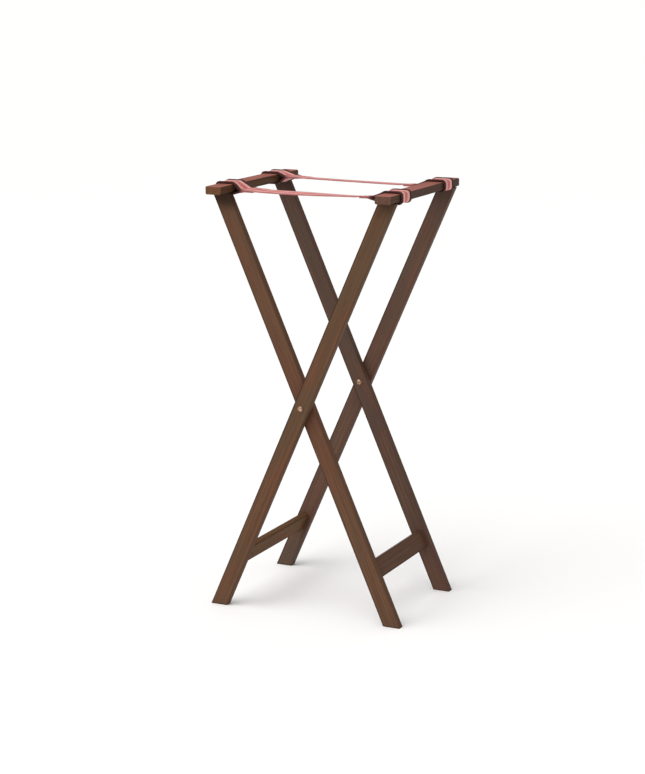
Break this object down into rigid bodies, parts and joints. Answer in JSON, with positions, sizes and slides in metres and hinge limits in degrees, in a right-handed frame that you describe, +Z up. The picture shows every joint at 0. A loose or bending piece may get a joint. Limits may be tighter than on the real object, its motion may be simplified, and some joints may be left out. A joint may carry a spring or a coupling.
{
  "type": "folding tray stand",
  "caption": "Tall folding stand with crossed wooden leg frames, a rail on top of each, and webbing straps that hold them open to carry a tray or a suitcase.",
  "frame": {"origin": "on the floor, under the middle of the stand at rest", "axes": "+Z up; X is the direction that the two frames spread in, with the outer frame's top rail at +X; Y runs along the top rails, with the front at -Y"},
  "size_m": [0.376, 0.307, 0.7837],
  "materials": {
    "walnut": "dark walnut stain under satin varnish",
    "birch": "bare birch dowel",
    "steel": "plain nickel-plated steel",
    "brass": "satin",
    "webbing": "woven cotton webbing, salmon red with dark brown borders"
  },
  "bodies": {
    "outer_frame": {"top_rail_outer": "walnut", "stretcher_outer": "walnut", "leg_outer_front": "walnut", "leg_outer_rear": "walnut", "rail_dowel_outer_front": "birch", "rail_dowel_outer_rear": "birch", "stretcher_dowel_outer_front_upper": "birch", "stretcher_dowel_outer_front_lower": "birch", "stretcher_dowel_outer_rear_upper": "birch", "stretcher_dowel_outer_rear_lower": "birch", "strap_wrap_outer_front": "webbing", "strap_wrap_outer_rear": "webbing", "strap_tack_outer_front": "brass", "strap_tack_outer_rear": "brass", "strap_span_front": "webbing", "strap_span_rear": "webbing", "pivot_barrel_nut_front": "steel", "pivot_barrel_nut_rear": "steel", "pivot_screw_front": "steel", "pivot_screw_rear": "steel", "pivot_washer_nut_front": "steel", "pivot_washer_nut_rear": "steel", "pivot_washer_spacer_front": "steel", "pivot_washer_spacer_rear": "steel", "pivot_washer_screw_front": "steel", "pivot_washer_screw_rear": "steel"},
    "inner_frame": {"top_rail_inner": "walnut", "stretcher_inner": "walnut", "leg_inner_front": "walnut", "leg_inner_rear": "walnut", "rail_dowel_inner_front": "birch", "rail_dowel_inner_rear": "birch", "stretcher_dowel_inner_front_upper": "birch", "stretcher_dowel_inner_front_lower": "birch", "stretcher_dowel_inner_rear_upper": "birch", "stretcher_dowel_inner_rear_lower": "birch", "strap_wrap_inner_front": "webbing", "strap_wrap_inner_rear": "webbing", "strap_tack_inner_front": "brass", "strap_tack_inner_rear": "brass"}
  },
  "joints": [
    {"name": "fold", "type": "hinge", "parent": "outer_frame", "child": "inner_frame", "pos_m": [0, 0, 0.39], "axis": [0, 1, 0], "range_deg": [0, 39], "deforming": ["strap_span_front", "strap_span_rear"]}
  ]
}
